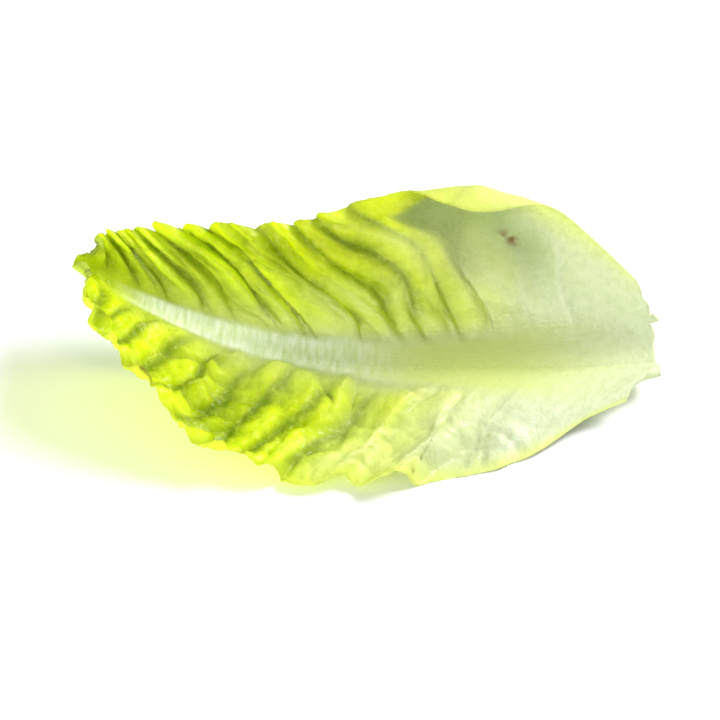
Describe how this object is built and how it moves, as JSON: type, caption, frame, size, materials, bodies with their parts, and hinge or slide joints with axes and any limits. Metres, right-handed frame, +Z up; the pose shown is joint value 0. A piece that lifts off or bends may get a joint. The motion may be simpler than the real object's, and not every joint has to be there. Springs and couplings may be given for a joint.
{
  "type": "little gem lettuce leaf",
  "caption": "Loose leaf of little gem lettuce with a pale midrib, puckered green blade and a wavy margin, lying on its back and curled over along one side.",
  "frame": {"origin": "under the middle of the leaf's box, on the surface that the leaf rests on", "axes": "+Z up, +X towards the broad white base and -X towards the tip, +Y towards the half that stands up and curls over"},
  "size_m": [0.1354, 0.0598, 0.0451],
  "materials": {
    "leaf": "Fresh lettuce leaf: yellow-green blade puckered between its side veins, fading to a white-green midrib and base, with a moist low gloss and some light passing through the blade."
  },
  "bodies": {
    "root": {"leaf": "leaf"}
  },
  "joints": []
}
